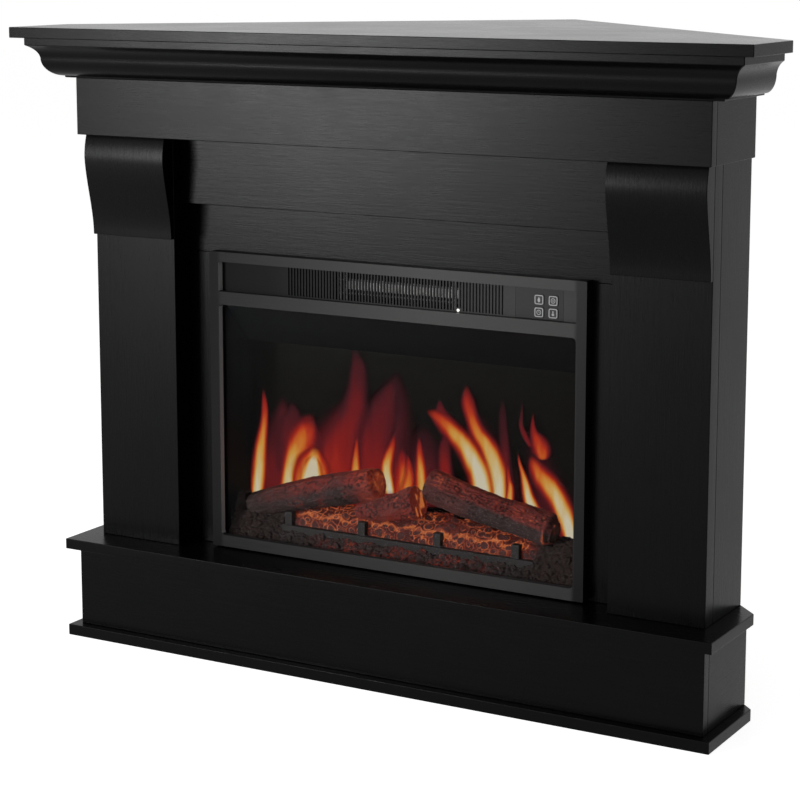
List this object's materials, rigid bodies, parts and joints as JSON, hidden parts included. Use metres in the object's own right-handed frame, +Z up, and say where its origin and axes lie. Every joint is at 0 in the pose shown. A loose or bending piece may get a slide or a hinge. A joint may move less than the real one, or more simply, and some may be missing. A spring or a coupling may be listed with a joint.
{
  "type": "corner fireplace",
  "caption": "Corner electric fireplace: moulded wooden surround with corbelled pilasters around a firebox with logs, slotted heater outlet and push buttons.",
  "frame": {"origin": "on the floor, below the middle of the overall width and depth", "axes": "+Z up, -Y towards the viewer through the fire's front, +X to the viewer's right, +Y into the room's corner"},
  "size_m": [1.1, 0.6804, 0.881],
  "materials": {
    "painted_wood": "black satin lacquer over a very fine grain",
    "raw_board": "unpainted particle board",
    "trim_metal": "dark grey satin powder coat",
    "black_sheet": "matt black coated steel sheet",
    "black_plastic": "fine matt moulded plastic",
    "button_plastic": "semi-gloss moulded plastic with pale printed icons",
    "clear_glass": "clear tempered glass",
    "smoked_screen": "smoked translucent screen on which the flames show",
    "log_ceramic": "rough painted bark, glowing in the cracks",
    "ember_resin": "translucent moulded embers, lit from below",
    "grate_iron": "matt black",
    "zinc_steel": "zinc plated sheet",
    "heater_wire": "bare resistance wire on a mica strip",
    "circuit_board": "green solder mask",
    "lamp_lens": "lit diffuser"
  },
  "bodies": {
    "fireplace": {"foot_plate": "painted_wood", "plinth_front": "painted_wood", "plinth_left": "painted_wood", "plinth_right": "painted_wood", "plinth_rib": "raw_board", "hearth_shelf": "painted_wood", "plinth_rear_post": "raw_board", "rear_post": "raw_board", "pilaster_left": "painted_wood", "pilaster_right": "painted_wood", "side_panel_left": "painted_wood", "side_panel_right": "painted_wood", "corbel_left": "painted_wood", "corbel_right": "painted_wood", "stile_left": "painted_wood", "stile_right": "painted_wood", "header_lower": "painted_wood", "header_upper": "painted_wood", "frieze_front": "painted_wood", "frieze_left": "painted_wood", "frieze_right": "painted_wood", "frieze_soffit": "painted_wood", "crown_front": "painted_wood", "crown_left": "painted_wood", "crown_right": "painted_wood", "sub_top": "raw_board", "mantel_top": "painted_wood", "trim_frame": "trim_metal", "front_glass": "clear_glass", "band_panel": "black_plastic", "indicator_lamp": "lamp_lens", "control_fascia": "black_plastic", "control_board": "circuit_board", "casing_wrap": "black_sheet", "casing_floor": "black_sheet", "casing_back": "black_sheet", "cord_gland": "black_plastic", "chamber_ceiling": "black_sheet", "flame_screen": "smoked_screen", "fixing_bracket_left": "zinc_steel", "fixing_bracket_right": "zinc_steel", "log_left": "log_ceramic", "log_right": "log_ceramic", "log_center": "log_ceramic", "ember_bed": "ember_resin", "grate": "grate_iron", "heater_duct": "zinc_steel", "heating_coil": "heater_wire", "blower_housing": "zinc_steel", "blower_motor": "zinc_steel", "flicker_motor": "zinc_steel", "flicker_bearing": "zinc_steel", "flame_reflector": "zinc_steel", "light_board": "circuit_board"},
    "power_button": {"button_power": "button_plastic"},
    "flame_button": {"button_flame": "button_plastic"},
    "heat_button": {"button_heat": "button_plastic"},
    "timer_button": {"button_timer": "button_plastic"},
    "blower": {"blower_wheel": "black_plastic"},
    "flicker": {"flicker_rod": "zinc_steel"}
  },
  "joints": [
    {"name": "power_press", "type": "slide", "parent": "fireplace", "child": "power_button", "axis": [0, 1, 0], "range_m": [0, 0.0008], "stiffness_N_per_m": 1000},
    {"name": "flame_press", "type": "slide", "parent": "fireplace", "child": "flame_button", "axis": [0, 1, 0], "range_m": [0, 0.0008], "stiffness_N_per_m": 1000},
    {"name": "heat_press", "type": "slide", "parent": "fireplace", "child": "heat_button", "axis": [0, 1, 0], "range_m": [0, 0.0008], "stiffness_N_per_m": 1000},
    {"name": "timer_press", "type": "slide", "parent": "fireplace", "child": "timer_button", "axis": [0, 1, 0], "range_m": [0, 0.0008], "stiffness_N_per_m": 1000},
    {"name": "blower_spin", "type": "hinge", "parent": "fireplace", "child": "blower", "pos_m": [0.007, -0.12775, 0.53445], "axis": [1, 0, 0], "continuous": true},
    {"name": "flicker_spin", "type": "hinge", "parent": "fireplace", "child": "flicker", "pos_m": [0, -0.12675, 0.1797], "axis": [1, 0, 0], "continuous": true}
  ]
}
